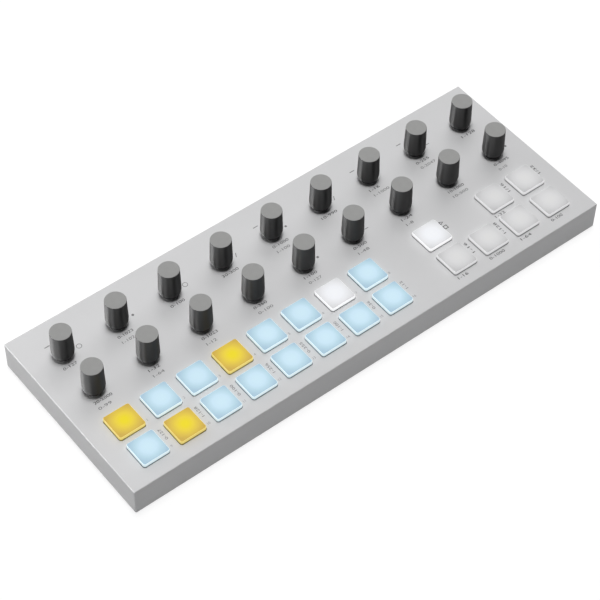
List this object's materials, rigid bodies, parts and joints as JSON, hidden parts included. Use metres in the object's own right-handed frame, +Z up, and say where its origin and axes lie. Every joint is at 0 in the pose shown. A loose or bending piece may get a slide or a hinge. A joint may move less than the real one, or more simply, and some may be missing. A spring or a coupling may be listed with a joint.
{
  "type": "music sequencer",
  "caption": "Flat desktop music sequencer: rows of tall plain knobs behind rows of lit square step buttons and a cluster of function buttons, with sockets at the rear.",
  "frame": {"origin": "on the table under the middle of the case", "axes": "+X to the player's right along the case, +Y to the rear sockets, +Z up"},
  "size_m": [0.297, 0.111, 0.0366],
  "materials": {
    "case_metal": "matte bead-blasted and anodised, light grey",
    "base_metal": "matte anodised",
    "foot_rubber": "matte",
    "socket_metal": "satin",
    "spacer_brass": "satin",
    "screw_steel": "satin",
    "board_green": "solder mask",
    "chip_black": "matte",
    "led_white": "gloss",
    "mat_silicone": "translucent silicone",
    "encoder_metal": "satin",
    "jack_black": "matte",
    "knob_plastic": "matte, dark grey",
    "button_blue": "translucent, lit pale blue",
    "button_gold": "translucent, lit yellow",
    "button_white": "translucent, lit white",
    "button_clear": "translucent, unlit"
  },
  "bodies": {
    "case": {"top_case": "case_metal", "base_plate": "base_metal", "rubber_feet": "foot_rubber", "usb_socket": "socket_metal", "panel_standoffs": "spacer_brass", "board_spacers": "spacer_brass", "base_screws": "screw_steel", "main_board": "board_green", "board_chips": "chip_black", "button_leds": "led_white", "dome_mat": "mat_silicone", "encoder_bodies": "encoder_metal", "midi_in_jack": "jack_black", "midi_out_jack": "jack_black", "sync_in_jack": "jack_black", "sync_out_jack": "jack_black", "cv_out_jack": "jack_black", "gate_out_jack": "jack_black"},
    "knob_back_1": {"knob_back_1": "knob_plastic"},
    "knob_back_2": {"knob_back_2": "knob_plastic"},
    "knob_back_3": {"knob_back_3": "knob_plastic"},
    "knob_back_4": {"knob_back_4": "knob_plastic"},
    "knob_back_5": {"knob_back_5": "knob_plastic"},
    "knob_back_6": {"knob_back_6": "knob_plastic"},
    "knob_back_7": {"knob_back_7": "knob_plastic"},
    "knob_back_8": {"knob_back_8": "knob_plastic"},
    "knob_back_9": {"knob_back_9": "knob_plastic"},
    "knob_front_1": {"knob_front_1": "knob_plastic"},
    "knob_front_2": {"knob_front_2": "knob_plastic"},
    "knob_front_3": {"knob_front_3": "knob_plastic"},
    "knob_front_4": {"knob_front_4": "knob_plastic"},
    "knob_front_5": {"knob_front_5": "knob_plastic"},
    "knob_front_6": {"knob_front_6": "knob_plastic"},
    "knob_front_7": {"knob_front_7": "knob_plastic"},
    "knob_front_8": {"knob_front_8": "knob_plastic"},
    "knob_front_9": {"knob_front_9": "knob_plastic"},
    "step_button_1": {"step_button_1": "button_gold"},
    "step_button_2": {"step_button_2": "button_blue"},
    "step_button_3": {"step_button_3": "button_blue"},
    "step_button_4": {"step_button_4": "button_gold"},
    "step_button_5": {"step_button_5": "button_blue"},
    "step_button_6": {"step_button_6": "button_blue"},
    "step_button_7": {"step_button_7": "button_white"},
    "step_button_8": {"step_button_8": "button_blue"},
    "step_button_9": {"step_button_9": "button_blue"},
    "step_button_10": {"step_button_10": "button_gold"},
    "step_button_11": {"step_button_11": "button_blue"},
    "step_button_12": {"step_button_12": "button_blue"},
    "step_button_13": {"step_button_13": "button_blue"},
    "step_button_14": {"step_button_14": "button_blue"},
    "step_button_15": {"step_button_15": "button_blue"},
    "step_button_16": {"step_button_16": "button_blue"},
    "function_button_1": {"function_button_1": "button_clear"},
    "function_button_2": {"function_button_2": "button_clear"},
    "function_button_3": {"function_button_3": "button_clear"},
    "function_button_4": {"function_button_4": "button_clear"},
    "function_button_5": {"function_button_5": "button_white"},
    "function_button_6": {"function_button_6": "button_clear"},
    "function_button_7": {"function_button_7": "button_clear"}
  },
  "joints": [
    {"name": "knob_back_1_turn", "type": "hinge", "parent": "case", "child": "knob_back_1", "pos_m": [-0.129, 0.0321, 0.018], "axis": [0, 0, -1], "continuous": true},
    {"name": "knob_back_2_turn", "type": "hinge", "parent": "case", "child": "knob_back_2", "pos_m": [-0.09675, 0.0321, 0.018], "axis": [0, 0, -1], "continuous": true},
    {"name": "knob_back_3_turn", "type": "hinge", "parent": "case", "child": "knob_back_3", "pos_m": [-0.0645, 0.0321, 0.018], "axis": [0, 0, -1], "continuous": true},
    {"name": "knob_back_4_turn", "type": "hinge", "parent": "case", "child": "knob_back_4", "pos_m": [-0.03225, 0.0321, 0.018], "axis": [0, 0, -1], "continuous": true},
    {"name": "knob_back_5_turn", "type": "hinge", "parent": "case", "child": "knob_back_5", "pos_m": [0, 0.0321, 0.018], "axis": [0, 0, -1], "continuous": true},
    {"name": "knob_back_6_turn", "type": "hinge", "parent": "case", "child": "knob_back_6", "pos_m": [0.03225, 0.0321, 0.018], "axis": [0, 0, -1], "continuous": true},
    {"name": "knob_back_7_turn", "type": "hinge", "parent": "case", "child": "knob_back_7", "pos_m": [0.0645, 0.0321, 0.018], "axis": [0, 0, -1], "continuous": true},
    {"name": "knob_back_8_turn", "type": "hinge", "parent": "case", "child": "knob_back_8", "pos_m": [0.09675, 0.0321, 0.018], "axis": [0, 0, -1], "continuous": true},
    {"name": "knob_back_9_turn", "type": "hinge", "parent": "case", "child": "knob_back_9", "pos_m": [0.129, 0.0321, 0.018], "axis": [0, 0, -1], "continuous": true},
    {"name": "knob_front_1_turn", "type": "hinge", "parent": "case", "child": "knob_front_1", "pos_m": [-0.129, 0.0055, 0.018], "axis": [0, 0, -1], "continuous": true},
    {"name": "knob_front_2_turn", "type": "hinge", "parent": "case", "child": "knob_front_2", "pos_m": [-0.09675, 0.0055, 0.018], "axis": [0, 0, -1], "continuous": true},
    {"name": "knob_front_3_turn", "type": "hinge", "parent": "case", "child": "knob_front_3", "pos_m": [-0.0645, 0.0055, 0.018], "axis": [0, 0, -1], "continuous": true},
    {"name": "knob_front_4_turn", "type": "hinge", "parent": "case", "child": "knob_front_4", "pos_m": [-0.03225, 0.0055, 0.018], "axis": [0, 0, -1], "continuous": true},
    {"name": "knob_front_5_turn", "type": "hinge", "parent": "case", "child": "knob_front_5", "pos_m": [0, 0.0055, 0.018], "axis": [0, 0, -1], "continuous": true},
    {"name": "knob_front_6_turn", "type": "hinge", "parent": "case", "child": "knob_front_6", "pos_m": [0.03225, 0.0055, 0.018], "axis": [0, 0, -1], "continuous": true},
    {"name": "knob_front_7_turn", "type": "hinge", "parent": "case", "child": "knob_front_7", "pos_m": [0.0645, 0.0055, 0.018], "axis": [0, 0, -1], "continuous": true},
    {"name": "knob_front_8_turn", "type": "hinge", "parent": "case", "child": "knob_front_8", "pos_m": [0.09675, 0.0055, 0.018], "axis": [0, 0, -1], "continuous": true},
    {"name": "knob_front_9_turn", "type": "hinge", "parent": "case", "child": "knob_front_9", "pos_m": [0.129, 0.0055, 0.018], "axis": [0, 0, -1], "continuous": true},
    {"name": "step_button_1_press", "type": "slide", "parent": "case", "child": "step_button_1", "axis": [0, 0, -1], "range_m": [0, 0.0012], "stiffness_N_per_m": 1000, "springref_m": -0.0002, "deforming": ["dome_mat"]},
    {"name": "step_button_2_press", "type": "slide", "parent": "case", "child": "step_button_2", "axis": [0, 0, -1], "range_m": [0, 0.0012], "stiffness_N_per_m": 1000, "springref_m": -0.0002, "deforming": ["dome_mat"]},
    {"name": "step_button_3_press", "type": "slide", "parent": "case", "child": "step_button_3", "axis": [0, 0, -1], "range_m": [0, 0.0012], "stiffness_N_per_m": 1000, "springref_m": -0.0002, "deforming": ["dome_mat"]},
    {"name": "step_button_4_press", "type": "slide", "parent": "case", "child": "step_button_4", "axis": [0, 0, -1], "range_m": [0, 0.0012], "stiffness_N_per_m": 1000, "springref_m": -0.0002, "deforming": ["dome_mat"]},
    {"name": "step_button_5_press", "type": "slide", "parent": "case", "child": "step_button_5", "axis": [0, 0, -1], "range_m": [0, 0.0012], "stiffness_N_per_m": 1000, "springref_m": -0.0002, "deforming": ["dome_mat"]},
    {"name": "step_button_6_press", "type": "slide", "parent": "case", "child": "step_button_6", "axis": [0, 0, -1], "range_m": [0, 0.0012], "stiffness_N_per_m": 1000, "springref_m": -0.0002, "deforming": ["dome_mat"]},
    {"name": "step_button_7_press", "type": "slide", "parent": "case", "child": "step_button_7", "axis": [0, 0, -1], "range_m": [0, 0.0012], "stiffness_N_per_m": 1000, "springref_m": -0.0002, "deforming": ["dome_mat"]},
    {"name": "step_button_8_press", "type": "slide", "parent": "case", "child": "step_button_8", "axis": [0, 0, -1], "range_m": [0, 0.0012], "stiffness_N_per_m": 1000, "springref_m": -0.0002, "deforming": ["dome_mat"]},
    {"name": "step_button_9_press", "type": "slide", "parent": "case", "child": "step_button_9", "axis": [0, 0, -1], "range_m": [0, 0.0012], "stiffness_N_per_m": 1000, "springref_m": -0.0002, "deforming": ["dome_mat"]},
    {"name": "step_button_10_press", "type": "slide", "parent": "case", "child": "step_button_10", "axis": [0, 0, -1], "range_m": [0, 0.0012], "stiffness_N_per_m": 1000, "springref_m": -0.0002, "deforming": ["dome_mat"]},
    {"name": "step_button_11_press", "type": "slide", "parent": "case", "child": "step_button_11", "axis": [0, 0, -1], "range_m": [0, 0.0012], "stiffness_N_per_m": 1000, "springref_m": -0.0002, "deforming": ["dome_mat"]},
    {"name": "step_button_12_press", "type": "slide", "parent": "case", "child": "step_button_12", "axis": [0, 0, -1], "range_m": [0, 0.0012], "stiffness_N_per_m": 1000, "springref_m": -0.0002, "deforming": ["dome_mat"]},
    {"name": "step_button_13_press", "type": "slide", "parent": "case", "child": "step_button_13", "axis": [0, 0, -1], "range_m": [0, 0.0012], "stiffness_N_per_m": 1000, "springref_m": -0.0002, "deforming": ["dome_mat"]},
    {"name": "step_button_14_press", "type": "slide", "parent": "case", "child": "step_button_14", "axis": [0, 0, -1], "range_m": [0, 0.0012], "stiffness_N_per_m": 1000, "springref_m": -0.0002, "deforming": ["dome_mat"]},
    {"name": "step_button_15_press", "type": "slide", "parent": "case", "child": "step_button_15", "axis": [0, 0, -1], "range_m": [0, 0.0012], "stiffness_N_per_m": 1000, "springref_m": -0.0002, "deforming": ["dome_mat"]},
    {"name": "step_button_16_press", "type": "slide", "parent": "case", "child": "step_button_16", "axis": [0, 0, -1], "range_m": [0, 0.0012], "stiffness_N_per_m": 1000, "springref_m": -0.0002, "deforming": ["dome_mat"]},
    {"name": "function_button_1_press", "type": "slide", "parent": "case", "child": "function_button_1", "axis": [0, 0, -1], "range_m": [0, 0.0012], "stiffness_N_per_m": 1000, "springref_m": -0.0002, "deforming": ["dome_mat"]},
    {"name": "function_button_2_press", "type": "slide", "parent": "case", "child": "function_button_2", "axis": [0, 0, -1], "range_m": [0, 0.0012], "stiffness_N_per_m": 1000, "springref_m": -0.0002, "deforming": ["dome_mat"]},
    {"name": "function_button_3_press", "type": "slide", "parent": "case", "child": "function_button_3", "axis": [0, 0, -1], "range_m": [0, 0.0012], "stiffness_N_per_m": 1000, "springref_m": -0.0002, "deforming": ["dome_mat"]},
    {"name": "function_button_4_press", "type": "slide", "parent": "case", "child": "function_button_4", "axis": [0, 0, -1], "range_m": [0, 0.0012], "stiffness_N_per_m": 1000, "springref_m": -0.0002, "deforming": ["dome_mat"]},
    {"name": "function_button_5_press", "type": "slide", "parent": "case", "child": "function_button_5", "axis": [0, 0, -1], "range_m": [0, 0.0012], "stiffness_N_per_m": 1000, "springref_m": -0.0002, "deforming": ["dome_mat"]},
    {"name": "function_button_6_press", "type": "slide", "parent": "case", "child": "function_button_6", "axis": [0, 0, -1], "range_m": [0, 0.0012], "stiffness_N_per_m": 1000, "springref_m": -0.0002, "deforming": ["dome_mat"]},
    {"name": "function_button_7_press", "type": "slide", "parent": "case", "child": "function_button_7", "axis": [0, 0, -1], "range_m": [0, 0.0012], "stiffness_N_per_m": 1000, "springref_m": -0.0002, "deforming": ["dome_mat"]}
  ]
}
